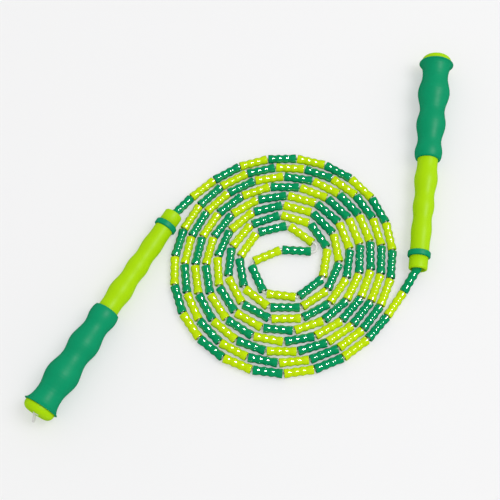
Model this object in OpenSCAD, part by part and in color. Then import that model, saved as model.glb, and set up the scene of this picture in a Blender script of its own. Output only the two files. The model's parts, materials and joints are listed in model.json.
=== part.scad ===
// Beaded jump rope: two handles, a limp cord and beads strung on it.
// The rope lies in a flat double coil on the floor, with both handles beside it.
// Millimetres, +Z up. Origin: middle of the handles' box, on the floor.

/* [Beads] */
// Length of one bead
bead_l = 25; // [20:0.1:30]
// Diameter over a bead's plain bands
bead_d = 7.9; // [6.6:0.1:9.5]
// Diameter of the bore that the cord runs in
bead_bore = 4.4; // [3.6:0.1:5.3]
// Depth of the three shallow grooves round a bead
groove_h = 0.65; // [0.3:0.05:0.8]
// Radius of the arc that a groove is cut with
groove_r = 3.2; // [2.4:0.1:4]
// Distance between grooves
groove_pitch = 6.2; // [5:0.1:7.5]
// Chamfer on a bead's ends
bead_edge = 0.4; // [0.3:0.05:0.6]

/* [Cord] */
// Diameter of the cord
cord_d = 2.7; // [2:0.1:3.3]

/* [Handles] */
// Length of a handle, from nose face to the top of the end cap
handle_l = 208; // [170:1:250]
// Length of the grip sleeve
grip_l = 97; // [80:1:117]
// Diameter of the grip sleeve's largest bulge
grip_d = 28.7; // [24:0.1:34]
// Diameter of the grip sleeve's flared rim
rim_d = 31; // [28:0.1:37]
// Diameter of the bare tube's largest bulge
tube_d = 20.6; // [18:0.1:24]
// Bore through the tube
tube_bore = 12; // [10:0.1:14]
// Length of the nose ferrule's outer part
nose_l = 11.4; // [10:0.1:14]
// Diameter of the nose ferrule
nose_d = 16.3; // [13.6:0.1:19]
// Wall of the nose at its mouth
mouth_wall = 1.55; // [1.5:0.05:1.9]
// Width of the collar ring
collar_w = 5; // [4:0.1:6]
// Height of the collar ring over the nose
collar_rise = 1.8; // [1.2:0.1:2.5]
// Height of the domed end cap over the sleeve
cap_h = 7; // [6.5:0.1:8.5]
// Diameter of the recess in the end cap
recess_d = 12.4; // [11:0.1:13]

/* [Fits] */
// Radial clearance between the cord and its holes in the handle
cord_gap = 0.55; // [0.4:0.05:0.8]
// Clearance between the stop washer and the end cap
washer_gap = 0.25; // [0.2:0.05:0.4]

/* [Hidden] */
$fn = 64;
// The route is laid out for a bead of this size, and spreads as the beads grow
route_l = 25;
route_d = 7.9;
grow = max(bead_l / route_l, bead_d / route_d);
coil_r = 35.25;          // radius at which each arm of the double coil starts
coil_pitch = 19.22;      // growth of the radius in one turn, less coil_ease
coil_ease = 0.18;        // loss of pitch, turn by turn
coil_gap = 0.36;         // slack along the cord between two beads
coil_oval = 0.026;       // stretch of the coil along its long diagonal
coil_start = -70.4;      // polar angle of arm A's first joint, degrees
coil_lag = 20.9;         // arm B starts this far behind a half turn
arm_beads = 57;          // beads on the coiled stretch of each arm
edge_d = bead_d - 2 * bead_edge;
bead_h = bead_d / 2 + 0.02;   // height of a bead's axis over the floor

// Stretches that aren't coiled, bead joint by bead joint from the inner end
// of each arm. Both are seen from above with the coil's middle at [0, 0].
centre_a = [[-17, -29], [-29, -1], [-2, 11], [24, 9.5]];
centre_b = [[4.5, 34], [25.5, 17.5]];
tail_a = [[-81.5, 60]];
tail_b = [[87.5, -49.5], [102.5, -28]];

// The loop in which the cord turns back in the middle, from one bead to the other
loop_at = [24.4, 13.4];
loop_r = 4.7;
hairpin = concat([for (k = [0 : 6]) loop_at + loop_r * [cos(24.3 * k - 94), sin(24.3 * k - 94)]],
    [[25.9, 18.2]]);

// Pivots of the cord ends, in the handles' mouths, and the handles' headings
left_pivot = grow * [-97, 40.5];
right_pivot = grow * [115.5, -7];
left_heading = 239;
right_heading = 82;

// Arm of the coil: polar position of the point at angle a along an arm
function arm_r(a) = coil_r + coil_pitch * a / 360 - coil_ease * pow(a / 360, 2);
function arm_pt(a, arm) =
    let (t = coil_start + a + 180 * arm)
    arm_r(a) * (1 + coil_oval * sin(2 * t)) * [cos(t), sin(t)];
// Chord from one bead joint to the next: the flat ends must clear each other
function chord(r) =
    route_l + (route_d - 0.8) * tan(route_l * 30.08 / r) + coil_gap;
// Angle from the joint at angle a to the next joint outwards
function next_step(a, arm, d, n) = n == 0 ? d :
    next_step(a, arm, d * chord(norm(arm_pt(a, arm)) + 1.2)
        / norm(arm_pt(a + d, arm) - arm_pt(a, arm)), n - 1);
function arm_walk(a, arm, n) =
    let (r = norm(arm_pt(a, arm)) + 1.2)
    n == 0 ? [arm_pt(a, arm)] :
    concat([arm_pt(a, arm)],
        arm_walk(a + next_step(a, arm, chord(r) / r * 180 / PI, 5), arm, n - 1));
function reversed(v) = [for (i = [len(v) - 1 : -1 : 0]) v[i]];
function flat(v, h) = [for (p = v) [grow * p[0], grow * p[1], h]];

// Handle outline: [place, radius] with smooth waves between. The places are shares
// of the bare tube's length, then of the sleeve's length up to its rim.
tube_r = tube_d / 2;
grip_r = grip_d / 2;
rim_r = rim_d / 2;
nose_r = nose_d / 2;
collar_r = nose_r + collar_rise;
neck_r = nose_r - 1.1;
s_tube = nose_l + collar_w;
s_cap = handle_l - cap_h;
s_rim = s_cap - 0.8;
s_grip = s_cap - grip_l;
bed_r = min(tube_r * 0.88, grip_r * 0.732 - 1.4);   // tube under the sleeve
function places(v, s0, s1) = [for (p = v) [s0 + (s1 - s0) * p[0], p[1]]];
tube_waves = places([[0, nose_r + 0.15], [0.089, nose_r + 0.15],
    [0.223, nose_r + 0.85], [0.354, nose_r], [0.482, tube_r * 0.915],
    [0.609, tube_r * 0.825], [0.777, tube_r], [0.92, tube_r * 0.87], [1, bed_r]],
    s_tube, s_grip);
grip_waves = places([[0.075, grip_r * 0.852], [0.19, grip_r * 0.732],
    [0.366, grip_r * 0.915], [0.509, grip_r * 0.775], [0.694, grip_r],
    [0.867, grip_r * 0.803]], s_grip, s_rim);

function wave(v, n) = [for (i = [0 : len(v) - 2]) for (k = [0 : n - 1])
    let (t = k / n, w = (1 - cos(180 * t)) / 2)
    [v[i][0] + (v[i + 1][0] - v[i][0]) * t, v[i][1] + (v[i + 1][1] - v[i][1]) * w]];
// Rise of the sleeve's front edge, and the flare of its rear end
function rise(s0, r0, s1, r1, n) = [for (k = [0 : n - 1])
    [s0 + (s1 - s0) * (1 - cos(90 * k / n)), r0 + (r1 - r0) * sin(90 * k / n)]];
function flare(s0, r0, s1, r1, n) = [for (k = [0 : n])
    [s0 + (s1 - s0) * sin(90 * k / n), r0 + (r1 - r0) * (1 - cos(90 * k / n))]];

// The nose's mouth, and the pivot as deep in it as the slanting bead allows
mouth_r = nose_r - mouth_wall;
throat_r = mouth_r - 1.3;
slant = 24;
pivot_in = min(2.5, (mouth_r - bead_d / 2 / cos(slant) - 0.3) / tan(slant));

// Handles rest on the collar ring, and on the sleeve's rim or its largest bulge
collar_s = nose_l + 1;
bulge_s = grip_waves[4][0];
tilt = max(atan((rim_r - collar_r) / (s_rim - collar_s)),
    atan((grip_r - collar_r) / (bulge_s - collar_s)));
nose_h = collar_r * cos(tilt) - collar_s * sin(tilt) + 0.02;

// The end cap's dome
cap_r = rim_r * 0.88;
cap_round = min(5.6, cap_h - 0.8);

function rearwards(heading) = [cos(heading) * cos(tilt), sin(heading) * cos(tilt), sin(tilt)];
// A point on a handle's axis, s behind its nose face
function on_axis(pivot, heading, s) =
    [pivot[0], pivot[1], nose_h + pivot_in * sin(tilt)] + (s - pivot_in) * rearwards(heading);
left_p = on_axis(left_pivot, left_heading, pivot_in);
right_p = on_axis(right_pivot, right_heading, pivot_in);

// Middle of the box round both handles: reach of a ring of the outline along x or y
function reach(pivot, heading, i, sign) =
    let (u = rearwards(heading)[i] * sign)
    max([for (p = concat([[0, nose_r - 1.5], [1.5, nose_r], [s_rim, rim_r]],
            [for (k = [0 : 6]) [handle_l, cap_r] - cap_round *
                [1 - sin(15 * k), 1 - cos(15 * k)]]))
        sign * on_axis(pivot, heading, p[0])[i] + p[1] * sqrt(1 - u * u)]);
function side(i, sign) = max(reach(left_pivot, left_heading, i, sign),
    reach(right_pivot, right_heading, i, sign));
coil_at = [for (i = [0, 1]) (side(i, -1) - side(i, 1)) / 2];

// Bead joints from each handle's pivot to the middle of the coil
joints_a = concat([left_p], flat(tail_a, bead_h),
    flat(reversed(arm_walk(0, 0, arm_beads)), bead_h), flat(centre_a, bead_h));
joints_b = concat([right_p], flat(reversed(tail_b), bead_h),
    flat(reversed(arm_walk(coil_lag, 1, arm_beads)), bead_h), flat(centre_b, bead_h));
beads_a = len(joints_a) - 1;
beads_b = len(joints_b) - 1;

function unit(v) = v / norm(v);
// Length of cord that the corner at joint i needs between two beads' centres
function corner(v, i) = (i <= 0 || i >= len(v) - 1) ? 0 :
    let (a = unit(v[i] - v[i - 1]), b = unit(v[i + 1] - v[i]))
    edge_d / 2 * tan(acos(min(1, a * b)) / 2);
// Start of bead i: centred in its chord, but close to its neighbour at the ends
function bead_start(v, i) =
    let (l = norm(v[i + 1] - v[i]), lo = corner(v, i), hi = corner(v, i + 1))
    i == 0 ? l - bead_l - hi - coil_gap / 2 :
    i == len(v) - 2 ? lo + coil_gap / 2 : lo + (l - bead_l - lo - hi) / 2;

QUARTERS = [1, 2, 3, 4];

dark = [0, 0.55, 0.32];
lime = [0.72, 0.9, 0];
white = [0.95, 0.95, 0.92];

// One bead along +Z, standing on its end
module bead_shape() {
    rotate_extrude($fn = 32)
    difference() {
        polygon([[bead_bore / 2, 0], [bead_d / 2 - bead_edge, 0], [bead_d / 2, bead_edge],
            [bead_d / 2, bead_l - bead_edge], [bead_d / 2 - bead_edge, bead_l],
            [bead_bore / 2, bead_l]]);
        for (k = [-1 : 1])
            translate([bead_d / 2 + groove_r - groove_h, bead_l / 2 + k * groove_pitch])
            circle(r = groove_r, $fn = 48);
    }
}

// Turns +Z to the direction u and moves to p
module aim(p, u) {
    translate(p)
    rotate([0, 0, atan2(u[1], u[0])])
    rotate([0, 90 - asin(u[2]), 0])
    children();
}

module place_bead(v, i) {
    u = unit(v[i + 1] - v[i]);
    translate([coil_at[0], coil_at[1], 0])
    aim(v[i] + u * bead_start(v, i), u)
    bead_shape();
}

// Beads number first to last of an arm, every second one
module bead_run(v, first, last) {
    for (i = [first : 2 : last]) place_bead(v, i);
}

// Quarter q of an arm: beads 2 to 60 in four runs, odd ones dark, even ones lime
module quarter(v, q, shade) {
    first = 1 + 15 * (q - 1);
    start = (first % 2 == shade) ? first : first + 1;
    bead_run(v, start, first + 14);
}

module at_left() {
    aim(on_axis(left_pivot, left_heading, 0) + [coil_at[0], coil_at[1], 0],
        rearwards(left_heading))
    children();
}
module at_right() {
    aim(on_axis(right_pivot, right_heading, 0) + [coil_at[0], coil_at[1], 0],
        rearwards(right_heading))
    children();
}

module handle_tube() {
    color(lime)
    rotate_extrude()
    polygon(concat([[tube_bore / 2, s_tube]],
        [for (p = wave(tube_waves, 5)) [p[1], p[0]]],
        [[bed_r, s_grip], [bed_r, s_cap], [tube_bore / 2, s_cap]]));
}

module grip_sleeve() {
    outline = concat(
        rise(s_grip, bed_r + 1, grip_waves[0][0], grip_waves[0][1], 5),
        wave(grip_waves, 5),
        flare(grip_waves[5][0], grip_waves[5][1], s_rim, rim_r, 5));
    color(dark)
    rotate_extrude()
    polygon(concat([[bed_r, s_grip]], [for (p = outline) [p[1], p[0]]],
        [[rim_r - 0.2, s_cap], [bed_r, s_cap]]));
}

recess_r = recess_d / 2;
recess_h = 6;
lip_r = min(1.4, cap_r - cap_round - recess_r);   // rounding into the recess
module end_cap() {
    color(lime)
    rotate_extrude()
    difference() {
        union() {
            translate([0, s_cap]) square([cap_r, cap_h - cap_round]);
            translate([0, s_cap]) square([cap_r - cap_round, cap_h]);
            intersection() {
                translate([cap_r - cap_round, handle_l - cap_round])
                    circle(r = cap_round, $fn = 96);
                translate([0, s_cap]) square([cap_r, cap_h]);
            }
            translate([0, s_cap - 20]) square([tube_bore / 2, 20.1]);
        }
        translate([0, handle_l - recess_h]) square([recess_r, recess_h + 1]);
        translate([recess_r - 0.01, handle_l - lip_r]) difference() {
            square([lip_r, lip_r + 1]);
            translate([lip_r, 0]) circle(r = lip_r, $fn = 32);
        }
        translate([0, s_cap - 21]) square([cord_d / 2 + cord_gap, 40]);
    }
}

module collar_ring() {
    color(dark)
    rotate_extrude()
    difference() {
        union() {
            translate([0, nose_l + 1]) square([collar_r, s_tube - nose_l - 2]);
            translate([0, nose_l]) square([collar_r - 1, s_tube - nose_l]);
            for (s = [nose_l + 1, s_tube - 1])
                translate([collar_r - 1, s]) circle(r = 1, $fn = 32);
        }
        translate([-1, nose_l - 1]) square([neck_r + 1, s_tube - nose_l + 2]);
    }
}

module nose_ferrule() {
    color(lime)
    rotate_extrude()
    difference() {
        union() {
            translate([0, 1.5]) square([nose_r, nose_l - 1.5]);
            translate([nose_r - 1.5, 1.5]) circle(r = 1.5, $fn = 32);
            square([nose_r - 1.5, nose_l]);
            polygon([[0, nose_l - 0.1], [neck_r, nose_l - 0.1], [neck_r, s_tube],
                [tube_bore / 2, s_tube], [tube_bore / 2, s_tube + 14], [0, s_tube + 14]]);
        }
        translate([-1, -1]) square([1 + cord_d / 2 + cord_gap, s_tube + 20]);
        polygon([[-1, -0.1], [mouth_r + 0.065, -0.1], [throat_r, 2], [throat_r, 6], [-1, 6]]);
        translate([-30, -1]) square([30, s_tube + 20]);
    }
}

washer_h = 0.8;
washer_s = handle_l - recess_h + washer_gap;
washer_in = cord_d / 2 + 0.15;
module stop_washer() {
    color([0.75, 0.75, 0.78])
    rotate_extrude()
    translate([washer_in, washer_s])
    square([recess_r - 1.2 - washer_in, washer_h]);
}

// Overhand knot as two thick turns, with the cord's cut tail hanging out
knot_s = washer_s + washer_h;
module knot() {
    color(white)
    union() {
        rotate_extrude($fn = 32)
        union() {
            square([0.8 * cord_d, 1.3 * cord_d]);
            translate([0.8 * cord_d, cord_d / 2]) circle(d = cord_d, $fn = 24);
            translate([0.65 * cord_d, 1.2 * cord_d]) circle(d = cord_d, $fn = 24);
        }
        translate([0, 0, 1.2 * cord_d]) rotate([0, 38, 0])
            cylinder(d = cord_d, h = 3.4 * cord_d, $fn = 32);
    }
}

module inner_cord() {
    color(white)
    union() {
        translate([0, 0, pivot_in]) sphere(d = cord_d, $fn = 32);
        translate([0, 0, pivot_in]) cylinder(d = cord_d, h = knot_s - pivot_in, $fn = 32);
    }
}

// The cord from mouth to mouth, as one tube with a mitred ring at each point
cord_start = cord_d / 2 + 0.3;
cord_route = concat(
    [joints_a[0] + cord_start * unit(joints_a[1] - joints_a[0])],
    [for (i = [1 : beads_a - 1]) joints_a[i]], flat(hairpin, bead_h),
    [for (i = [beads_b - 1 : -1 : 1]) joints_b[i]],
    [joints_b[0] + cord_start * unit(joints_b[1] - joints_b[0])]);
function heading_at(v, i) =
    unit((i == 0 ? [0, 0, 0] : unit(v[i] - v[i - 1]))
        + (i == len(v) - 1 ? [0, 0, 0] : unit(v[i + 1] - v[i])));
function ring_at(v, i, r, n) =
    let (t = heading_at(v, i), k = unit(cross([0, 0, 1], t)), m = cross(t, k),
        back = i == 0 ? t : unit(v[i] - v[i - 1]),
        stretch = 1 / max(0.5, abs(t * back)))
    [for (j = [0 : n - 1])
        v[i] + r * (cos(360 * (j + 0.5) / n) * stretch * k + sin(360 * (j + 0.5) / n) * m)];
module main_cord() {
    n = 8;
    count = len(cord_route);
    points = [for (i = [0 : count - 1]) each ring_at(cord_route, i, cord_d / 2, n)];
    sides = [for (i = [0 : count - 2]) for (j = [0 : n - 1])
        [i * n + j, (i + 1) * n + j, (i + 1) * n + (j + 1) % n, i * n + (j + 1) % n]];
    ends = [[for (j = [0 : n - 1]) j], [for (j = [n - 1 : -1 : 0]) (count - 1) * n + j]];
    color(white)
    translate([coil_at[0], coil_at[1], 0])
    polyhedron(points, concat(sides, ends));
}

module left_handle_tube() at_left() handle_tube();
module left_grip_sleeve() at_left() grip_sleeve();
module left_end_cap() at_left() end_cap();
module left_collar_ring() at_left() collar_ring();
module left_nose_ferrule() at_left() nose_ferrule();
module left_stop_washer() at_left() stop_washer();
module left_knot() at_left() translate([0, 0, knot_s]) knot();
module left_inner_cord() at_left() inner_cord();
module left_lead_bead() color(dark) place_bead(joints_a, 0);
module right_handle_tube() at_right() handle_tube();
module right_grip_sleeve() at_right() grip_sleeve();
module right_end_cap() at_right() end_cap();
module right_collar_ring() at_right() collar_ring();
module right_nose_ferrule() at_right() nose_ferrule();
module right_stop_washer() at_right() stop_washer();
module right_knot() at_right() translate([0, 0, knot_s]) knot();
module right_inner_cord() at_right() inner_cord();
module right_lead_bead() color(dark) place_bead(joints_b, 0);
module left_dark_beads(q) color(dark) quarter(joints_a, q, 0);
module left_lime_beads(q) color(lime) quarter(joints_a, q, 1);
module right_dark_beads(q) color(dark) quarter(joints_b, q, 0);
module right_lime_beads(q) color(lime) quarter(joints_b, q, 1);
module centre_dark_beads() color(dark) {
    bead_run(joints_a, 62, beads_a - 1);
}
module centre_lime_beads() color(lime) {
    bead_run(joints_a, 61, beads_a - 1);
    bead_run(joints_b, 61, beads_b - 1);
}

left_handle_tube();
left_grip_sleeve();
left_end_cap();
left_collar_ring();
left_nose_ferrule();
left_stop_washer();
left_knot();
left_inner_cord();
left_lead_bead();
right_handle_tube();
right_grip_sleeve();
right_end_cap();
right_collar_ring();
right_nose_ferrule();
right_stop_washer();
right_knot();
right_inner_cord();
right_lead_bead();
left_dark_beads(1);  // left_dark_beads_1
left_dark_beads(2);  // left_dark_beads_2
left_dark_beads(3);  // left_dark_beads_3
left_dark_beads(4);  // left_dark_beads_4
left_lime_beads(1);  // left_lime_beads_1
left_lime_beads(2);  // left_lime_beads_2
left_lime_beads(3);  // left_lime_beads_3
left_lime_beads(4);  // left_lime_beads_4
right_dark_beads(1);  // right_dark_beads_1
right_dark_beads(2);  // right_dark_beads_2
right_dark_beads(3);  // right_dark_beads_3
right_dark_beads(4);  // right_dark_beads_4
right_lime_beads(1);  // right_lime_beads_1
right_lime_beads(2);  // right_lime_beads_2
right_lime_beads(3);  // right_lime_beads_3
right_lime_beads(4);  // right_lime_beads_4
centre_dark_beads();
centre_lime_beads();
main_cord();
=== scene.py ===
"""Beaded jump rope: two grip handles on a limp white cord strung with plastic beads.

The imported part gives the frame, the joints and every size that matters. This file
lays the finished rope over it: moulded beads, twisted cord, knots and handles.
Lengths are in metres and angles in degrees unless a name says otherwise.
"""

import json
import math

import bpy
import numpy as np
from bpy.props import FloatProperty, FloatVectorProperty, IntProperty, PointerProperty
from mathutils import Euler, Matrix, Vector


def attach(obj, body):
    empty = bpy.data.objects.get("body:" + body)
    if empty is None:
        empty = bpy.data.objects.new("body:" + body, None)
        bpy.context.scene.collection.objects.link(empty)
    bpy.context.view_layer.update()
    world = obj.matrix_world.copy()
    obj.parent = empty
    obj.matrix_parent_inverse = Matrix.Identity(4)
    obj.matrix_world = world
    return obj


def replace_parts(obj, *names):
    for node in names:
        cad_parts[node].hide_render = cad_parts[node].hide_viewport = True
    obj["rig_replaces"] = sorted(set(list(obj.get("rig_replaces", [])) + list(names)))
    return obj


bl_info = {
    "name": "Beaded Jump Rope",
    "version": (1, 0, 0),
    "blender": (4, 5, 0),
    "location": "View3D > Sidebar > Rope",
    "description": "Builds a coiled beaded jump rope with grip handles over its packed frame",
    "category": "Add Mesh",
}

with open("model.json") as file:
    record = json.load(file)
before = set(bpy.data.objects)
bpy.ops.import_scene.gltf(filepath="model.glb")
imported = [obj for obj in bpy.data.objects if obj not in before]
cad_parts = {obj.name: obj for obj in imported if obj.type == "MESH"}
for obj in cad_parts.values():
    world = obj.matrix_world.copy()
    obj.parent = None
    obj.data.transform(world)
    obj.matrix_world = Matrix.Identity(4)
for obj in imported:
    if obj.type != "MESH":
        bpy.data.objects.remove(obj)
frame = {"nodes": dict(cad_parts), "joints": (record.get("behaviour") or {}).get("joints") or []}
NODES = frame["nodes"]
JOINTS = {joint["name"]: joint for joint in frame["joints"]}
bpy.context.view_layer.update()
SIDES = ("left", "right")

# Bead joints on the stretches that aren't coiled, from the coil's middle. The coil
# itself is worked out by arm_walk(). Arm a ends at the left handle, arm b at the right.
CENTRE = {
    "a": [(-0.017, -0.029), (-0.029, -0.001), (-0.002, 0.011), (0.024, 0.0095)],
    "b": [(0.0045, 0.034), (0.0255, 0.0175)],
}
TAIL = {"a": [(-0.0815, 0.060)], "b": [(0.0875, -0.0495), (0.1025, -0.028)]}
LEFT_PIVOT = (-0.097, 0.0405)

# The loop in which the cord turns back in the middle, from one bead to the other
LOOP_MIDDLE = (0.0244, 0.0134)
LOOP_RADIUS = 0.0047
LOOP_END = (0.0259, 0.0182)
LOOP_START, LOOP_SWEEP, LOOP_STEPS = -94, 145.8, 18

# Gap that keeps the beads' undersides just clear of the floor
CLEAR = 0.00002
# Degrees that a bead of one radius's length turns its joint by, halved, with 5% added
HALF_TURN = 30.08
# Added to a joint's distance from the middle, for the radius that its bead turns on
CHORD_OUT = 0.0012
# Longest step along a rounded corner, and along the cord where it is hidden
FINE_STEP, COARSE_STEP = 0.0008, 0.004
# The cord shows its strands this near a joint, and fades to plain over the blend
SHOWN, STRANDS, BLEND = 0.006, 0.0065, 0.0015
# Depth of the strands in the cord, in the knots and at the tails' ends
LAY_DEPTH, KNOT_DEPTH, TAIL_DEPTH = 0.16, 0.2, 0.42
# Beads in a quarter of an arm, after the lead bead
QUARTER = 15
# Size of the knot's trefoil, its mean height and how far its strands rise and fall
KNOT_SIZE, KNOT_HEIGHT, KNOT_WEAVE = 0.00074, 0.0027, 0.0011
# Points of the knot's curve, and where the trefoil starts and how much of it is drawn
KNOT_POINTS, KNOT_OPEN, KNOT_PART = 60, 0.10, 0.80
# Small slack that tells one ring of a turned node from the next
RING_SLACK = 1e-5
# Where the lamps stand
SPARKLE_AT, SPARKLE_SIZE = (1.56, 0.20, 2.80), 0.66
SOFT_AT, SOFT_SIZE = (1.60, 0.10, 2.80), 1.9
# From the coil's middle to what the camera looks at
LOOK = (-0.0291, 0.0123)


# ---------------------------------------------------------------- settings


def length(name, description, default, **words):
    """A length property in metres."""
    return FloatProperty(
        name=name, description=description, default=default, min=0.0,
        precision=5, subtype="DISTANCE", unit="LENGTH", **words
    )


def colour(name, description, default):
    """A linear colour property."""
    return FloatVectorProperty(
        name=name, description=description, default=default, size=3,
        min=0.0, max=1.0, subtype="COLOR",
    )


class RopeBeadSettings(bpy.types.PropertyGroup):
    """Sizes and colours of the beads."""

    length: length("Length", "Length of one bead", 0.025)
    diameter: length("Diameter", "Diameter over a bead's plain bands", 0.0079)
    bore: length("Bore", "Diameter of the hole that the cord runs in", 0.0044)
    groove: length("Groove depth", "Depth of the three grooves round a bead", 0.00065)
    pitch: length("Groove pitch", "Distance from one groove to the next", 0.0062)
    edge: length("Edge", "Radius of the rounded rim at a bead's ends", 0.0004)
    sides: IntProperty(
        name="Sides", description="Facets round a bead", default=28, min=12, max=96
    )
    green: colour("Green", "Plastic of every second bead", (0.0, 0.315, 0.11))
    lime: colour("Lime", "Plastic of the other beads", (0.56, 0.80, 0.0))


class RopeCoilSettings(bpy.types.PropertyGroup):
    """The double coil that the rope lies in."""

    radius: length("Radius", "Radius at which each arm starts", 0.03525)
    pitch: length("Pitch", "Growth of the radius in one turn", 0.01922)
    ease: length("Ease", "Loss of pitch, turn by turn", 0.00018)
    gap: length("Gap", "Slack along the cord between two beads", 0.00036)
    oval: FloatProperty(
        name="Oval", description="Stretch along the long diagonal",
        default=0.026, subtype="FACTOR",
    )
    start: FloatProperty(
        name="Start", description="Polar angle of arm a's first joint, in degrees",
        default=-70.4,
    )
    lag: FloatProperty(
        name="Lag", description="How far arm b starts behind a half turn, in degrees",
        default=20.9,
    )
    beads: IntProperty(
        name="Beads", description="Beads on each arm's coiled stretch",
        default=57, min=1, max=200,
    )


class RopeCordSettings(bpy.types.PropertyGroup):
    """The cord and its knots."""

    diameter: length("Diameter", "Diameter of the cord", 0.0027)
    bend: length("Bend radius", "Tightest bend of the cord at a bead joint", 0.0056)
    lay: length("Lay", "Length of one turn of the strands", 0.0072)
    white: colour("White", "Twisted nylon", (0.86, 0.86, 0.83))


class RopeHandleSettings(bpy.types.PropertyGroup):
    """Finishes and small shapes of the handles."""

    sides: IntProperty(
        name="Sides", description="Facets round a handle", default=96, min=24, max=256
    )
    mouth: length("Mouth", "Radius of the nose's flared mouth", 0.0066)
    throat: length("Throat", "Radius of the recess behind the mouth", 0.0053)
    hole: length("Hole", "Radius of the cord's holes", 0.0019)
    funnel: length("Funnel", "Narrowing of the end cap's recess", 0.0009)
    lime: colour("Lime", "Plastic of tube, nose and cap", (0.395, 0.70, 0.0))
    green: colour("Green", "Rubber of grip and collar", (0.0, 0.30, 0.13))
    steel: colour("Steel", "Stop washers", (0.52, 0.52, 0.54))


class RopeStageSettings(bpy.types.PropertyGroup):
    """Camera, floor and lights."""

    lens: FloatProperty(
        name="Lens", description="Focal length in millimetres", default=72.0
    )
    tilt: FloatProperty(
        name="Tilt", description="Camera's angle from straight down, in degrees",
        default=20.5,
    )
    distance: length("Distance", "From the camera to what it looks at", 0.8765)
    sweep: length("Floor", "Width of the floor", 8.0)
    paper: colour("Paper", "Floor colour", (0.50, 0.50, 0.503))
    glow: FloatProperty(name="Glow", description="Light that the floor gives", default=0.385)
    sparkle: FloatProperty(name="Sparkle", description="Highlight lamp in watts", default=200.0)
    soft: FloatProperty(name="Soft", description="Large soft light in watts", default=36.0)
    sky: FloatProperty(name="Sky", description="Strength of the soft dome", default=0.775)


class RopeSettings(bpy.types.PropertyGroup):
    """All of the rope's settings."""

    beads: PointerProperty(type=RopeBeadSettings)
    coil: PointerProperty(type=RopeCoilSettings)
    cord: PointerProperty(type=RopeCordSettings)
    handle: PointerProperty(type=RopeHandleSettings)
    stage: PointerProperty(type=RopeStageSettings)


def settings():
    """The scene's rope settings."""
    return bpy.context.scene.rope_settings


# ---------------------------------------------------------------- the rope's route


def coil_middle():
    """Where the coil's middle lies on the floor."""
    pivot = JOINTS["left_handle_swing"]["pos_m"]
    return np.array([pivot[0] - LEFT_PIVOT[0], pivot[1] - LEFT_PIVOT[1]])


def arm_point(angle, arm):
    """Point of an arm of the coil, angle degrees along it."""
    coil = settings().coil
    turns = angle / 360
    t = math.radians(coil.start + angle + (180 if arm == "b" else 0))
    r = coil.radius + coil.pitch * turns - coil.ease * turns**2
    r *= 1 + coil.oval * math.sin(2 * t)
    return np.array([r * math.cos(t), r * math.sin(t)])


def arm_walk(arm):
    """Bead joints of an arm from its inner end outwards, each a bead from the last."""
    bead, coil = settings().beads, settings().coil
    rim = bead.diameter - 2 * bead.edge
    angle = coil.lag if arm == "b" else 0.0
    points = [arm_point(angle, arm)]
    for _ in range(coil.beads):
        here = points[-1]
        r = np.linalg.norm(here) + CHORD_OUT
        chord = bead.length + rim * math.tan(math.radians(bead.length * HALF_TURN / r))
        chord += coil.gap
        step = math.degrees(chord / r)
        for _ in range(5):
            step *= chord / np.linalg.norm(arm_point(angle + step, arm) - here)
        angle += step
        points.append(arm_point(angle, arm))
    return points


def bead_height():
    """Height of the beads' middles over the floor."""
    return settings().beads.diameter / 2 + CLEAR


def arm_joints(arm):
    """Bead joints from a handle's mouth to the middle of the coil, in the row frame."""
    side = "left" if arm == "a" else "right"
    flat = TAIL[arm][::-1] if arm == "b" else TAIL[arm]
    flat = [*flat, *arm_walk(arm)[::-1], *CENTRE[arm]]
    height, middle = bead_height(), coil_middle()
    points = [np.array(JOINTS[f"{side}_handle_swing"]["pos_m"])]
    points += [np.array([*(middle + np.array(p)), height]) for p in flat]
    return points


def unit(v):
    """v at length 1."""
    return v / np.linalg.norm(v)


def corner_room(points, i):
    """Cord that the bend at joint i takes up between two beads' flat ends."""
    if i <= 0 or i >= len(points) - 1:
        return 0.0
    bead = settings().beads
    turn = unit(points[i] - points[i - 1]) @ unit(points[i + 1] - points[i])
    rim = bead.diameter / 2 - bead.edge
    return rim * math.tan(math.acos(min(1.0, turn)) / 2)


def bead_places(arm):
    """Start point and direction of each bead of an arm, from the handle inwards."""
    bead, coil = settings().beads, settings().coil
    points = arm_joints(arm)
    places = []
    for i in range(len(points) - 1):
        along = points[i + 1] - points[i]
        span = np.linalg.norm(along)
        low, high = corner_room(points, i), corner_room(points, i + 1)
        if i == 0:
            start = span - bead.length - high - coil.gap / 2
        elif i == len(points) - 2:
            start = low + coil.gap / 2
        else:
            start = low + (span - bead.length - low - high) / 2
        places.append((points[i] + unit(along) * start, unit(along)))
    return places


def fillet(before, corner, after, radius, step):
    """Points of an arc that rounds a corner of the route."""
    a, b = unit(before - corner), unit(after - corner)
    half = math.acos(max(-1.0, min(1.0, a @ b))) / 2
    turn = math.pi - 2 * half
    if turn < 0.02:
        return [corner]
    reach = radius / math.tan(half)
    middle = corner + unit(a + b) * radius / math.sin(half)
    first, last = corner + a * reach, corner + b * reach
    count = max(3, math.ceil(radius * turn / step))
    x = unit(first - middle)
    y = unit((last - middle) - ((last - middle) @ x) * x)
    return [
        middle + radius * (math.cos(turn * k / count) * x + math.sin(turn * k / count) * y)
        for k in range(count + 1)
    ]


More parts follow.
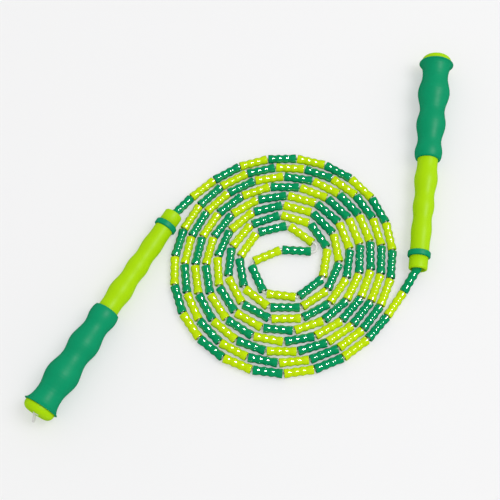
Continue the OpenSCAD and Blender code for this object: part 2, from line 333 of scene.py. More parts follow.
def cord_route():
    """The cord's centreline from mouth to mouth, its joints and the middle loop."""
    cord = settings().cord
    left, right = arm_joints("a"), arm_joints("b")
    height, middle = bead_height(), coil_middle()
    angles = [math.radians(LOOP_START + LOOP_SWEEP * k / LOOP_STEPS)
              for k in range(LOOP_STEPS + 1)]
    loop = [np.array(LOOP_MIDDLE) + LOOP_RADIUS * np.array([math.cos(t), math.sin(t)])
            for t in angles]
    loop = [np.array([*(middle + p), height]) for p in [*loop, np.array(LOOP_END)]]
    inset = cord.diameter / 2 + 0.0003
    start = left[0] + unit(left[1] - left[0]) * inset
    end = right[0] + unit(right[1] - right[0]) * inset
    knots = [start, *left[1:-1], *loop, *right[-2:0:-1], end]
    turns_at = len(left) - 1
    route = [start]
    for i in range(1, len(knots) - 1):
        if turns_at <= i < turns_at + len(loop) - 1:
            route.append(knots[i])
        else:
            route += fillet(knots[i - 1], knots[i], knots[i + 1], cord.bend, FINE_STEP)
    route.append(end)
    return np.array(route), np.array(knots), np.array(loop)


# ---------------------------------------------------------------- mesh helpers


def add_piece(name, verts, faces, material, body, replaces=()):
    """A smooth mesh piece that rides on a body and stands for CAD nodes."""
    mesh = bpy.data.meshes.new(name)
    mesh.from_pydata([tuple(v) for v in verts], [], faces)
    mesh.validate()
    mesh.polygons.foreach_set("use_smooth", [True] * len(mesh.polygons))
    mesh.materials.append(material)
    mesh.update()
    piece = bpy.data.objects.new(name, mesh)
    bpy.context.scene.collection.objects.link(piece)
    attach(piece, body)
    if replaces:
        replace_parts(piece, *replaces)
    return piece


def rings_to_faces(rings, sides, closed, first=0):
    """Quads between neighbouring rings of a swept or turned surface."""
    faces = []
    for i in range(rings if closed else rings - 1):
        for j in range(sides):
            a, b = i * sides, ((i + 1) % rings) * sides
            k = (j + 1) % sides
            faces.append((first + a + j, first + a + k, first + b + k, first + b + j))
    return faces


def turned(outline, sides, closed=True, first=0):
    """A shape turned on +Z from (radius, height) points."""
    angles = np.arange(sides) * 2 * math.pi / sides
    verts = [
        (r * math.cos(t), r * math.sin(t), z) for r, z in outline for t in angles
    ]
    return np.array(verts), rings_to_faces(len(outline), sides, closed, first)


def aim(verts, origin, direction):
    """Turns a shape's +Z to a direction and moves it to its origin."""
    direction = unit(np.array(direction, float))
    side = unit(np.cross([0, 0, 1], direction))
    up = np.cross(direction, side)
    return np.array(verts) @ np.array([side, up, direction]) + np.array(origin)


def rounded(corner, radius, start, end, count=5):
    """An arc about a centre in an outline, angles in degrees from +radius to +height."""
    return [
        (
            corner[0] + radius * math.cos(math.radians(start + (end - start) * k / count)),
            corner[1] + radius * math.sin(math.radians(start + (end - start) * k / count)),
        )
        for k in range(count + 1)
    ]


def swept(path, radius, sides, lobe=None, lay=0.007):
    """A tube along a path. lobe gives the depth of its three twisted strands at each point."""
    path = np.array(path)
    count = len(path)
    ahead = np.gradient(path, axis=0)
    ahead /= np.linalg.norm(ahead, axis=1)[:, None]
    run = np.concatenate([[0], np.cumsum(np.linalg.norm(np.diff(path, axis=0), axis=1))])
    side = np.cross([0.03, 0.02, 1.0], ahead[0])
    verts = []
    for i in range(count):
        side = unit(side - (side @ ahead[i]) * ahead[i])
        up = np.cross(ahead[i], side)
        depth = 0.0 if lobe is None else lobe[i]
        for j in range(sides):
            t = 2 * math.pi * j / sides
            phase = 1.5 * (t - 2 * math.pi * run[i] / lay)
            r = radius * (1 - depth * (1 - abs(math.sin(phase))))
            verts.append(path[i] + r * (math.cos(t) * side + math.sin(t) * up))
    faces = rings_to_faces(count, sides, False)
    faces.append(tuple(range(sides))[::-1])
    faces.append(tuple((count - 1) * sides + j for j in range(sides)))
    return np.array(verts), faces


def smooth_outline(points, count):
    """A smooth curve with count points through an outline's (height, radius) points."""
    points = np.array(points)
    z, r = points[:, 0], points[:, 1]
    slope = np.gradient(r, z)
    zs = np.linspace(z[0], z[-1], count)
    i = np.clip(np.searchsorted(z, zs) - 1, 0, len(z) - 2)
    span = z[i + 1] - z[i]
    t = (zs - z[i]) / span
    rs = (
        (2 * t**3 - 3 * t**2 + 1) * r[i] + (t**3 - 2 * t**2 + t) * span * slope[i]
        + (3 * t**2 - 2 * t**3) * r[i + 1] + (t**3 - t**2) * span * slope[i + 1]
    )
    return list(zip(rs, zs))


# ---------------------------------------------------------------- reading the frame


def handle_axis(side):
    """Nose point and rearward direction of a handle, from its spin joint and nose node."""
    joint = JOINTS[f"{side}_handle_spin"]
    pivot, axis = np.array(joint["pos_m"]), unit(np.array(joint["axis"]))
    co = np.array([v.co for v in NODES[f"{side}_nose_ferrule"].data.vertices])
    return pivot + axis * ((co - pivot) @ axis).min(), axis


def cad_rings(side, piece):
    """(height, radius) of the circles that make up a turned CAD node, nose end first."""
    nose, axis = handle_axis(side)
    co = np.array([v.co for v in NODES[f"{side}_{piece}"].data.vertices]) - nose
    height = co @ axis
    radius = np.linalg.norm(co - height[:, None] * axis, axis=1)
    rings = {(round(s, 5), round(r, 5)) for s, r in zip(height, radius)}
    return np.array(sorted(rings))


def outer_rings(side, piece, above):
    """The rings of a turned node's outside, one at each height."""
    outside = {}
    for s, r in cad_rings(side, piece):
        if r > above:
            outside[s] = max(r, outside.get(s, 0.0))
    return sorted(outside.items())


# ---------------------------------------------------------------- shader groups


def add_socket(group, name, way, kind, default=None):
    """A named input or output of a shader group."""
    socket = group.interface.new_socket(name=name, in_out=way, socket_type=kind)
    if default is not None:
        socket.default_value = default
    return socket


def node(tree, kind, **values):
    """A shader node; values set its properties and, by name or number, its inputs."""
    made = tree.nodes.new(kind)
    for key, value in values.items():
        if hasattr(made, key):
            setattr(made, key, value)
        else:
            made.inputs[key.replace("_", " ")].default_value = value
    return made


def math_node(tree, operation, a, b=0.5, c=0.0):
    """A Math node fed by sockets or numbers."""
    made = tree.nodes.new("ShaderNodeMath")
    made.operation = operation
    for slot_number, value in enumerate((a, b, c)):
        if isinstance(value, bpy.types.NodeSocket):
            tree.links.new(value, made.inputs[slot_number])
        else:
            made.inputs[slot_number].default_value = value
    return made.outputs[0]


def moulding_group():
    """Flow tone, fine grain and hairline scuffs of a moulded piece."""
    name = "Moulded Surface"
    if name in bpy.data.node_groups:
        return bpy.data.node_groups[name]
    tree = bpy.data.node_groups.new(name, "ShaderNodeTree")
    add_socket(tree, "Flow Scale", "INPUT", "NodeSocketFloat", 60.0)
    add_socket(tree, "Grain Scale", "INPUT", "NodeSocketFloat", 2500.0)
    add_socket(tree, "Scuff Scale", "INPUT", "NodeSocketFloat", 220.0)
    add_socket(tree, "Tone", "OUTPUT", "NodeSocketFloat")
    add_socket(tree, "Grain", "OUTPUT", "NodeSocketFloat")
    add_socket(tree, "Scuffs", "OUTPUT", "NodeSocketFloat")
    take = tree.nodes.new("NodeGroupInput")
    give = tree.nodes.new("NodeGroupOutput")
    place = tree.nodes.new("ShaderNodeTexCoord")
    flow = node(tree, "ShaderNodeTexNoise", Detail=3.0, Roughness=0.5, Distortion=0.6)
    grain = node(tree, "ShaderNodeTexNoise", Detail=4.0, Roughness=0.6)
    stretch = node(tree, "ShaderNodeMapping")
    stretch.inputs["Scale"].default_value = (1.0, 0.12, 1.0)
    stretch.inputs["Rotation"].default_value = (0.3, 0.5, 0.7)
    scuff = node(tree, "ShaderNodeTexNoise", Detail=6.0, Roughness=0.7, Distortion=1.5)
    tree.links.new(place.outputs["Object"], flow.inputs["Vector"])
    tree.links.new(place.outputs["Object"], grain.inputs["Vector"])
    tree.links.new(place.outputs["Object"], stretch.inputs["Vector"])
    tree.links.new(stretch.outputs["Vector"], scuff.inputs["Vector"])
    tree.links.new(take.outputs["Flow Scale"], flow.inputs["Scale"])
    tree.links.new(take.outputs["Grain Scale"], grain.inputs["Scale"])
    tree.links.new(take.outputs["Scuff Scale"], scuff.inputs["Scale"])
    tree.links.new(flow.outputs["Fac"], give.inputs["Tone"])
    tree.links.new(grain.outputs["Fac"], give.inputs["Grain"])
    fine = math_node(tree, "SUBTRACT", scuff.outputs["Fac"], 0.60)
    fine = math_node(tree, "MULTIPLY", fine, 9.0)
    clamp = node(tree, "ShaderNodeClamp")
    tree.links.new(fine, clamp.inputs["Value"])
    tree.links.new(clamp.outputs["Result"], give.inputs["Scuffs"])
    return tree


def dust_group():
    """Where fine dust settles: upward faces, in soft patches."""
    name = "Settled Dust"
    if name in bpy.data.node_groups:
        return bpy.data.node_groups[name]
    tree = bpy.data.node_groups.new(name, "ShaderNodeTree")
    add_socket(tree, "Amount", "INPUT", "NodeSocketFloat", 0.1)
    add_socket(tree, "Patch Scale", "INPUT", "NodeSocketFloat", 90.0)
    add_socket(tree, "Dust", "OUTPUT", "NodeSocketFloat")
    take = tree.nodes.new("NodeGroupInput")
    give = tree.nodes.new("NodeGroupOutput")
    place = tree.nodes.new("ShaderNodeTexCoord")
    surface = tree.nodes.new("ShaderNodeNewGeometry")
    split = tree.nodes.new("ShaderNodeSeparateXYZ")
    patch = node(tree, "ShaderNodeTexNoise", Detail=5.0, Roughness=0.65)
    tree.links.new(place.outputs["Object"], patch.inputs["Vector"])
    tree.links.new(take.outputs["Patch Scale"], patch.inputs["Scale"])
    tree.links.new(surface.outputs["Normal"], split.inputs["Vector"])
    up = math_node(tree, "MAXIMUM", split.outputs["Z"], 0.0)
    spread = math_node(tree, "MULTIPLY", up, patch.outputs["Fac"])
    amount = math_node(tree, "MULTIPLY", spread, take.outputs["Amount"])
    tree.links.new(amount, give.inputs["Dust"])
    return tree


def group_node(tree, group, **values):
    """An instance of a shader group with its own values."""
    made = tree.nodes.new("ShaderNodeGroup")
    made.node_tree = group
    for key, value in values.items():
        made.inputs[key.replace("_", " ")].default_value = value
    return made


def blend_colour(tree, factor, low, high):
    """Mix of two colours; each is a socket or a linear colour."""
    made = tree.nodes.new("ShaderNodeMix")
    made.data_type = "RGBA"
    tree.links.new(factor, made.inputs["Factor"])
    for name, value in (("A", low), ("B", high)):
        socket = next(s for s in made.inputs if s.name == name and s.type == "RGBA")
        if isinstance(value, bpy.types.NodeSocket):
            tree.links.new(value, socket)
        else:
            socket.default_value = (*value, 1.0)
    return next(s for s in made.outputs if s.type == "RGBA")


def shade(base, factor):
    """A colour scaled and kept in range."""
    return tuple(min(1.0, max(0.0, c * factor)) for c in base)


def plastic(name, base, rough, flow, grain, bump, dust, dark=0.9, light=1.08, **sockets):
    """Moulded plastic or rubber: flow tone, grain, scuffs and settled dust."""
    if name in bpy.data.materials:
        return bpy.data.materials[name]
    material = bpy.data.materials.new(name)
    material.use_nodes = True
    tree = material.node_tree
    shader = tree.nodes["Principled BSDF"]
    surface = group_node(tree, moulding_group(), Flow_Scale=flow, Grain_Scale=grain)
    settled = group_node(tree, dust_group(), Amount=dust)
    tone = blend_colour(tree, surface.outputs["Tone"], shade(base, dark), shade(base, light))
    tinted = blend_colour(tree, settled.outputs["Dust"], tone, (0.62, 0.62, 0.58))
    tree.links.new(tinted, shader.inputs["Base Color"])
    worn = math_node(tree, "MULTIPLY_ADD", surface.outputs["Scuffs"], rough * 0.4, rough)
    dusty = math_node(tree, "MULTIPLY_ADD", settled.outputs["Dust"], 0.5, worn)
    toned = math_node(tree, "MULTIPLY_ADD", surface.outputs["Tone"], rough * 0.3, dusty)
    tree.links.new(toned, shader.inputs["Roughness"])
    height = math_node(tree, "MULTIPLY_ADD", surface.outputs["Scuffs"], -0.35,
                       surface.outputs["Grain"])
    relief = node(tree, "ShaderNodeBump", Strength=bump)
    relief.inputs["Distance"].default_value = 0.0001
    tree.links.new(height, relief.inputs["Height"])
    tree.links.new(relief.outputs["Normal"], shader.inputs["Normal"])
    for key, value in sockets.items():
        shader.inputs[key.replace("_", " ")].default_value = value
    return material


def green_bead_plastic():
    """Glossy dark green of every second bead."""
    return plastic("Green Bead Plastic", settings().beads.green, 0.11, 70, 2600, 0.03, 0.003,
                   0.86, 1.14, IOR=1.55, Coat_Weight=0.8, Coat_Roughness=0.1)


def lime_bead_plastic():
    """Glossy lime of the other beads."""
    return plastic("Lime Bead Plastic", settings().beads.lime, 0.11, 70, 2600, 0.03, 0.003,
                   0.92, 1.06, IOR=1.5, Coat_Weight=0.5, Coat_Roughness=0.1)


def lime_handle_plastic():
    """Semi-gloss lime of tube, nose and cap."""
    return plastic("Lime Handle Plastic", settings().handle.lime, 0.40, 45, 1800, 0.15, 0.003,
                   0.94, 1.05, IOR=1.47, Specular_IOR_Level=0.07)


def green_grip_rubber():
    """Satin green rubber of the grip sleeves and collar rings."""
    return plastic("Green Grip Rubber", settings().handle.green, 0.42, 55, 1400, 0.25, 0.003,
                   0.9, 1.1, IOR=1.45, Specular_IOR_Level=0.08)


def steel_plate():
    """Dull plated steel of the stop washers."""
    return plastic("Plated Steel", settings().handle.steel, 0.36, 120, 3000, 0.3, 0.02,
                   0.85, 1.1, Metallic=1.0)


def nylon():
    """Twisted white nylon: fine filaments across the lay."""
    name = "White Nylon"
    if name in bpy.data.materials:
        return bpy.data.materials[name]
    base = settings().cord.white
    material = bpy.data.materials.new(name)
    material.use_nodes = True
    tree = material.node_tree
    shader = tree.nodes["Principled BSDF"]
    surface = group_node(tree, moulding_group(), Flow_Scale=300.0, Grain_Scale=5200.0)
    threads = node(tree, "ShaderNodeTexWave", Scale=900.0, Distortion=3.0, Detail=2.0)
    place = tree.nodes.new("ShaderNodeTexCoord")
    tree.links.new(place.outputs["Object"], threads.inputs["Vector"])
    tone = blend_colour(tree, surface.outputs["Tone"], shade(base, 0.82), shade(base, 1.06))
    shaded = blend_colour(tree, threads.outputs["Fac"], shade(base, 0.9), tone)
    tree.links.new(shaded, shader.inputs["Base Color"])
    rough = math_node(tree, "MULTIPLY_ADD", surface.outputs["Grain"], 0.2, 0.5)
    tree.links.new(rough, shader.inputs["Roughness"])
    height = math_node(tree, "MULTIPLY_ADD", threads.outputs["Fac"], 0.6,
                       surface.outputs["Grain"])
    relief = node(tree, "ShaderNodeBump", Strength=0.6)
    relief.inputs["Distance"].default_value = 0.0002
    tree.links.new(height, relief.inputs["Height"])
    tree.links.new(relief.outputs["Normal"], shader.inputs["Normal"])
    shader.inputs["Sheen Weight"].default_value = 0.2
    return material


def paper():
    """Matt pale floor with a slight mottle, which gives off some light of its own."""
    material = bpy.data.materials.new("Pale Floor")
    material.use_nodes = True
    tree = material.node_tree
    shader = tree.nodes["Principled BSDF"]
    base = settings().stage.paper
    mottle = node(tree, "ShaderNodeTexNoise", Scale=3.0, Detail=2.0)
    place = tree.nodes.new("ShaderNodeTexCoord")
    tree.links.new(place.outputs["Object"], mottle.inputs["Vector"])
    tone = blend_colour(tree, mottle.outputs["Fac"], shade(base, 0.995), shade(base, 1.005))
    tree.links.new(tone, shader.inputs["Base Color"])
    shader.inputs["Roughness"].default_value = 0.9
    shader.inputs["Specular IOR Level"].default_value = 0.1
    shader.inputs["Emission Color"].default_value = (1.0, 1.0, 1.0, 1.0)
    shader.inputs["Emission Strength"].default_value = settings().stage.glow
    return material


# ---------------------------------------------------------------- outlines


def bead_outline():
    """One bead's closed outline: bore, rounded rims and three smooth grooves."""
    bead = settings().beads
    r, bore, edge, total = bead.diameter / 2, bead.bore / 2, bead.edge, bead.length
    waist = 1.5 * bead.pitch
    low, high = total / 2 - waist, total / 2 + waist
    waves = []
    for k in range(31):
        z = low + (high - low) * k / 30
        dip = (1 - math.cos(2 * math.pi * (z - low) / bead.pitch)) / 2
        waves.append((r - bead.groove * dip, z))
    soft = 0.0002
    outline = [(bore + soft, 0.0), (r - edge - soft, 0.0)]
    outline += rounded((r - edge, edge), edge, -90, 0, 4)
    outline += waves
    outline += rounded((r - edge, total - edge), edge, 0, 90, 4)
    outline += [(r - edge - soft, total), (bore + soft, total)]
    outline += [(bore, total - soft), (bore, total / 2), (bore, soft)]
    return outline


# ---------------------------------------------------------------- operators


class ROPE_OT_camera(bpy.types.Operator):
    """Places the camera over the coil"""

    bl_idname = "rope.camera"
    bl_label = "Camera"

    def execute(self, context):
        stage = settings().stage
        data = bpy.data.cameras.new("camera")
        data.lens = stage.lens
        data.sensor_width = 36.0
        data.clip_start, data.clip_end = 0.05, 50.0
        camera = bpy.data.objects.new("camera", data)
        context.scene.collection.objects.link(camera)
        middle = coil_middle()
        look = Vector((middle[0] + LOOK[0], middle[1] + LOOK[1], 0.0))
        tilt = math.radians(stage.tilt)
        back = Vector((0.0, -math.sin(tilt), math.cos(tilt)))
        camera.location = look + back * stage.distance
        camera.rotation_euler = Euler((tilt, 0.0, 0.0))
        context.scene.camera = camera
        return {"FINISHED"}


class ROPE_OT_beads(bpy.types.Operator):
    """Strings the beads: one piece for each run of like beads"""

    bl_idname = "rope.beads"
    bl_label = "Beads"

    def string(self, name, places, material, body, slot):
        """One piece made of the beads at these places."""
        bead = settings().beads
        outline = bead_outline()
        verts, faces = [], []
        for k, (start, direction) in enumerate(places):
            shape, quads = turned(outline, bead.sides, True, k * len(outline) * bead.sides)
            verts.append(aim(shape, start, direction))
            faces += quads
        add_piece(f"{name}_moulded", np.vstack(verts), faces, material, body, [name])

    def execute(self, context):
        green = (green_bead_plastic(), "green_bead")
        lime = (lime_bead_plastic(), "lime_bead")
        middle = {"dark": [], "lime": []}
        for side, arm in zip(SIDES, "ab"):
            places = bead_places(arm)
            self.string(f"{side}_lead_bead", places[:1], green[0], f"{side}_first_bead", green[1])
            for quarter in (1, 2, 3, 4):
                first = 1 + QUARTER * (quarter - 1)
                for shade_name, odd, look in (("dark", 0, green), ("lime", 1, lime)):
                    run = [places[i] for i in range(first, first + QUARTER) if i % 2 == odd]
                    name = f"{side}_{shade_name}_beads_{quarter}"
                    self.string(name, run, look[0], "rope", look[1])
            for i in range(1 + 4 * QUARTER, len(places)):
                middle["lime" if i % 2 else "dark"].append(places[i])
        self.string("centre_dark_beads", middle["dark"], green[0], "rope", green[1])
        self.string("centre_lime_beads", middle["lime"], lime[0], "rope", lime[1])
        return {"FINISHED"}


class ROPE_OT_cord(bpy.types.Operator):
    """Lays the twisted cord from mouth to mouth"""

    bl_idname = "rope.cord"
    bl_label = "Cord"

    def execute(self, context):
        cord = settings().cord
        route, joints, loop = cord_route()
        shown = np.vstack([joints[1:-1], loop])
        dense = [route[0]]
        for a, b in zip(route[:-1], route[1:]):
            near = min(
                np.linalg.norm(shown - a, axis=1).min(), np.linalg.norm(shown - b, axis=1).min()
            )
            step = FINE_STEP if near < SHOWN else COARSE_STEP
            count = max(1, math.ceil(np.linalg.norm(b - a) / step))
            dense += [a + (b - a) * k / count for k in range(1, count + 1)]
        dense = np.array(dense)
        distance = np.array([np.linalg.norm(shown - p, axis=1).min() for p in dense])
        lobe = LAY_DEPTH * np.clip((STRANDS - distance) / BLEND, 0, 1)
        verts, faces = swept(dense, cord.diameter / 2, 18, lobe, cord.lay)
        piece = add_piece("main_cord_twisted", verts, faces, nylon(), "rope",
                          ["main_cord"])
        return {"FINISHED"}


class ROPE_OT_knots(bpy.types.Operator):
    """Ties the overhand knots at the cord's ends"""

    bl_idname = "rope.knots"
    bl_label = "Knots"

    def execute(self, context):
        cord = settings().cord
        for side in SIDES:
            nose, axis = handle_axis(side)
            rings = cad_rings(side, "knot")
            base = rings[0][0]
            turns = []
            for k in range(KNOT_POINTS + 1):
                t = 2 * math.pi * (KNOT_OPEN + KNOT_PART * k / KNOT_POINTS)
                x = math.sin(t) + 2 * math.sin(2 * t)
                y = math.cos(t) - 2 * math.cos(2 * t)
                height = KNOT_HEIGHT - KNOT_WEAVE * math.sin(3 * t)
                turns.append((KNOT_SIZE * x, KNOT_SIZE * y, height))
            first, last = np.array(turns[0]), np.array(turns[-1])
            rise = [(1 - w) * np.array([0, 0, 0.0003]) + w * first for w in (0.0, 0.5)]
            mid, end = np.array([0.0006, -0.0004, 0.0075]), np.array([0.0002, -0.0062, 0.0104])
            tail = [(1 - w) ** 2 * last + 2 * w * (1 - w) * mid + w * w * end
                    for w in np.linspace(0.1, 1, 14)]
            path = np.array([*rise, *turns, *tail])
            path = np.array([
                path[max(0, i - 1):i + 2].mean(axis=0) for i in range(len(path))
            ])
            lobe = np.full(len(path), KNOT_DEPTH)
            lobe[-len(tail):] = np.linspace(KNOT_DEPTH, TAIL_DEPTH, len(tail))
            verts, faces = swept(path, cord.diameter / 2, 16, lobe, cord.lay)
            verts[:, 2] = np.maximum(verts[:, 2], 0.0)
            verts = aim(verts, nose + axis * base, axis)
            add_piece(f"{side}_knot_tied", verts, faces, nylon(), f"{side}_cord_end",
                      [f"{side}_knot"])
            NODES[f"{side}_inner_cord"].data.materials.clear()
            NODES[f"{side}_inner_cord"].data.materials.append(nylon())
        return {"FINISHED"}


class ROPE_OT_washers(bpy.types.Operator):
    """Turns the stop washers under the knots"""

    bl_idname = "rope.washers"
    bl_label = "Stop washers"

    def execute(self, context):
        for side in SIDES:
            nose, axis = handle_axis(side)
            rings = cad_rings(side, "stop_washer")
            low, high = rings[:, 0].min(), rings[:, 0].max()
            inner, outer = rings[:, 1].min(), rings[:, 1].max()
            e = 0.00015
            outline = rounded((inner + e, low + e), e, 180, 270, 2)
            outline += rounded((outer - e, low + e), e, 270, 360, 3)
            outline += rounded((outer - e, high - e), e, 0, 90, 3)
            outline += rounded((inner + e, high - e), e, 90, 180, 2)
            verts, faces = turned(outline, 48)
            add_piece(f"{side}_washer_plate", aim(verts, nose, axis), faces, steel_plate(),
                      f"{side}_cord_end", [f"{side}_stop_washer"])
        return {"FINISHED"}


class ROPE_OT_tubes(bpy.types.Operator):
    """Turns the wavy handle tubes"""

    bl_idname = "rope.tubes"
    bl_label = "Handle tubes"

    def execute(self, context):
        for side in SIDES:
            nose, axis = handle_axis(side)
            rings = cad_rings(side, "handle_tube")
            bore = rings[:, 1].min()
            outside = outer_rings(side, "handle_tube", bore + 0.0005)
            sleeve = cad_rings(side, "grip_sleeve")[0][0]
            bare = [p for p in outside if p[0] <= sleeve + RING_SLACK]
            hidden = [p for p in outside if p[0] > sleeve + RING_SLACK]
            start, end = rings[0][0], rings[-1][0]
            outline = smooth_outline(bare, 150) + [(r, s) for s, r in hidden]
            outline += [(bore, end), (bore, (start + end) / 2), (bore, start)]
            verts, faces = turned(outline, settings().handle.sides)
            add_piece(f"{side}_tube_moulding", aim(verts, nose, axis), faces,
                      lime_handle_plastic(), f"{side}_handle",
                      [f"{side}_handle_tube"])
        return {"FINISHED"}


class ROPE_OT_grips(bpy.types.Operator):
    """Turns the rubber grip sleeves with their flared rims"""

    bl_idname = "rope.grips"
    bl_label = "Grip sleeves"

    def execute(self, context):
        for side in SIDES:
            nose, axis = handle_axis(side)
            rings = cad_rings(side, "grip_sleeve")
            bed = rings[:, 1].min()
            outside = outer_rings(side, "grip_sleeve", bed + 0.0001)
            rim_s, rim_r = max(outside[:-1], key=lambda p: p[0])
            end = rings[-1][0]
            outline = [(bed, outside[0][0]), (outside[0][1] - 0.0003, outside[0][0])]
            outline += smooth_outline(outside[:-1], 170)[1:-1]
            e = (end - rim_s) / 2
            outline += rounded((rim_r - e, rim_s + e), e, -60, 90, 6)
            outline += [(bed + 0.002, end), (bed, end), (bed, (end + outside[0][0]) / 2)]
            verts, faces = turned(outline, settings().handle.sides)
            add_piece(f"{side}_grip_rubber", aim(verts, nose, axis), faces,
                      green_grip_rubber(), f"{side}_handle",
                      [f"{side}_grip_sleeve"])
        return {"FINISHED"}


class ROPE_OT_collars(bpy.types.Operator):
    """Turns the rubber collar rings behind the noses"""

    bl_idname = "rope.collars"
    bl_label = "Collar rings"

    def execute(self, context):
        for side in SIDES:
            nose, axis = handle_axis(side)
            rings = cad_rings(side, "collar_ring")
            low, high = rings[:, 0].min(), rings[:, 0].max()
            inner, outer = rings[:, 1].min(), rings[:, 1].max()
            e = 0.001
            outline = [(inner, low)] + rounded((outer - e, low + e), e, -90, 0, 8)
            outline += rounded((outer - e, high - e), e, 0, 90, 8) + [(inner, high)]
            verts, faces = turned(outline, settings().handle.sides)
            add_piece(f"{side}_collar_rubber", aim(verts, nose, axis), faces,
                      green_grip_rubber(), f"{side}_handle",
                      [f"{side}_collar_ring"])
        return {"FINISHED"}


class ROPE_OT_noses(bpy.types.Operator):
    """Turns the nose ferrules with their flared mouths"""

    bl_idname = "rope.noses"
    bl_label = "Nose ferrules"

    def execute(self, context):
        handle = settings().handle
        for side in SIDES:
            nose, axis = handle_axis(side)
            rings = cad_rings(side, "nose_ferrule")
            outer, end = rings[:, 1].max(), rings[-1][0]
            collar = cad_rings(side, "collar_ring")
            neck, step, seat = collar[:, 1].min(), collar[:, 0].min(), collar[:, 0].max()
            spigot = cad_rings(side, "handle_tube")[:, 1].min()
            lip = 0.0015
            e = 0.0003
            outline = [(handle.hole, 0.0062), (handle.throat - e, 0.006)]
            outline += [(handle.throat, 0.006 - e), (handle.throat, 0.002)]
            outline += [(handle.mouth - 0.0002, 0.0003)]
            outline += rounded((outer - lip, lip), lip, -90, 0, 8)
            outline += [(outer, 0.004), (outer, step - e), (outer - e, step), (neck, step)]
            outline += [(neck, seat), (spigot, seat), (spigot, end - e), (spigot - e, end)]
            outline += [(handle.hole, end), (handle.hole, (end + 0.006) / 2)]
            verts, faces = turned(outline, handle.sides)
            add_piece(f"{side}_nose_moulding", aim(verts, nose, axis), faces,
                      lime_handle_plastic(), f"{side}_handle",
                      [f"{side}_nose_ferrule"])
        return {"FINISHED"}


class ROPE_OT_caps(bpy.types.Operator):
    """Turns the recessed end caps"""

    bl_idname = "rope.caps"
    bl_label = "End caps"

    def execute(self, context):
        handle = settings().handle
        for side in SIDES:
            nose, axis = handle_axis(side)
            rings = cad_rings(side, "end_cap")
            low, end, outer = rings[0][0], rings[-1][0], rings[:, 1].max()
            flange = cad_rings(side, "grip_sleeve")[-1][0]
            plug = cad_rings(side, "handle_tube")[:, 1].min()
            top = rings[rings[:, 0] > end - RING_SLACK]
            dome = top[:, 1].max()
            e = outer - dome
            behind = rings[:, 0] > flange + RING_SLACK
            inside = rings[behind & (rings[:, 1] > handle.hole + 0.001)]
            recess = inside[:, 1].min()
            floor = inside[inside[:, 1] < recess + RING_SLACK][:, 0].min()
            recess -= handle.funnel
            lip = dome - recess
            outline = [(handle.hole, low), (plug - 0.0005, low), (plug, low + 0.0005)]
            outline += [(plug, flange), (outer - 0.0003, flange), (outer, flange + 0.0003)]
            outline += rounded((dome, end - e), e, 0, 90, 16)
            outline += rounded((recess + lip, end - lip), lip, 90, 180, 8)
            outline += rounded((recess - 0.0005, floor + 0.0005), 0.0005, 0, -90, 3)
            outline += [(handle.hole + 0.0004, floor), (handle.hole, floor - 0.0004)]
            outline += [(handle.hole, (low + floor) / 2)]
            verts, faces = turned(outline, handle.sides)
            add_piece(f"{side}_cap_moulding", aim(verts, nose, axis), faces,
                      lime_handle_plastic(), f"{side}_handle",
                      [f"{side}_end_cap"])
        return {"FINISHED"}


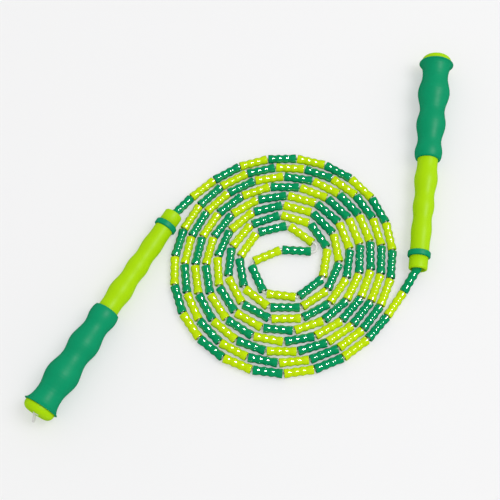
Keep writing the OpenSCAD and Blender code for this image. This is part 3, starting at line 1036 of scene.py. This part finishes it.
class ROPE_OT_stage(bpy.types.Operator):
    """Lays the floor and sets the lights"""

    bl_idname = "rope.stage"
    bl_label = "Floor and lights"

    def lamp(self, name, place, size, watts, shines):
        """An area light that faces the rope: it makes either highlights or soft light."""
        data = bpy.data.lights.new(name, "AREA")
        data.shape = "DISK"
        data.size = size
        data.energy = watts
        lamp = bpy.data.objects.new(name, data)
        bpy.context.scene.collection.objects.link(lamp)
        lamp.location = place
        lamp.rotation_euler = (-Vector(place)).to_track_quat("-Z", "Y").to_euler()
        lamp.visible_glossy = shines
        lamp.visible_diffuse = not shines

    def execute(self, context):
        stage = settings().stage
        half = stage.sweep / 2
        mesh = bpy.data.meshes.new("floor")
        mesh.from_pydata(
            [(-half, -half, 0), (half, -half, 0), (half, half, 0), (-half, half, 0)],
            [], [(0, 1, 2, 3)],
        )
        mesh.materials.append(paper())
        floor = bpy.data.objects.new("floor", mesh)
        context.scene.collection.objects.link(floor)
        floor.visible_glossy = False
        self.lamp("sparkle", SPARKLE_AT, SPARKLE_SIZE, stage.sparkle, True)
        self.lamp("soft", SOFT_AT, SOFT_SIZE, stage.soft, False)
        world = bpy.data.worlds.new("studio")
        world.use_nodes = True
        dome = world.node_tree.nodes["Background"]
        dome.inputs["Color"].default_value = (1.0, 1.0, 1.0, 1.0)
        dome.inputs["Strength"].default_value = stage.sky
        world.cycles_visibility.glossy = False
        context.scene.world = world
        context.scene.view_settings.view_transform = "Standard"
        return {"FINISHED"}


OPERATORS = (
    ROPE_OT_camera,
    ROPE_OT_beads,
    ROPE_OT_cord,
    ROPE_OT_knots,
    ROPE_OT_washers,
    ROPE_OT_tubes,
    ROPE_OT_grips,
    ROPE_OT_collars,
    ROPE_OT_noses,
    ROPE_OT_caps,
    ROPE_OT_stage,
)


class ROPE_PT_panel(bpy.types.Panel):
    """Lists the rope's pieces and their sizes"""

    bl_idname = "ROPE_PT_panel"
    bl_label = "Beaded Jump Rope"
    bl_space_type = "VIEW_3D"
    bl_region_type = "UI"
    bl_category = "Rope"

    def draw(self, context):
        layout = self.layout
        groups = context.scene.rope_settings
        for name in ("beads", "coil", "cord", "handle", "stage"):
            box = layout.box()
            box.label(text=name.capitalize())
            group = getattr(groups, name)
            for key in group.__annotations__:
                box.prop(group, key)
        for operator in OPERATORS:
            layout.operator(operator.bl_idname)


CLASSES = (
    RopeBeadSettings,
    RopeCoilSettings,
    RopeCordSettings,
    RopeHandleSettings,
    RopeStageSettings,
    RopeSettings,
    *OPERATORS,
    ROPE_PT_panel,
)


def register():
    """Registers the classes and the scene's settings."""
    for cls in CLASSES:
        bpy.utils.register_class(cls)
    bpy.types.Scene.rope_settings = PointerProperty(type=RopeSettings)


def unregister():
    """Removes them again."""
    del bpy.types.Scene.rope_settings
    for cls in reversed(CLASSES):
        bpy.utils.unregister_class(cls)


def main():
    """Builds the rope piece by piece."""
    register()
    for operator in OPERATORS:
        group, name = operator.bl_idname.split(".")
        getattr(getattr(bpy.ops, group), name)()


if __name__ == "__main__":
    main()
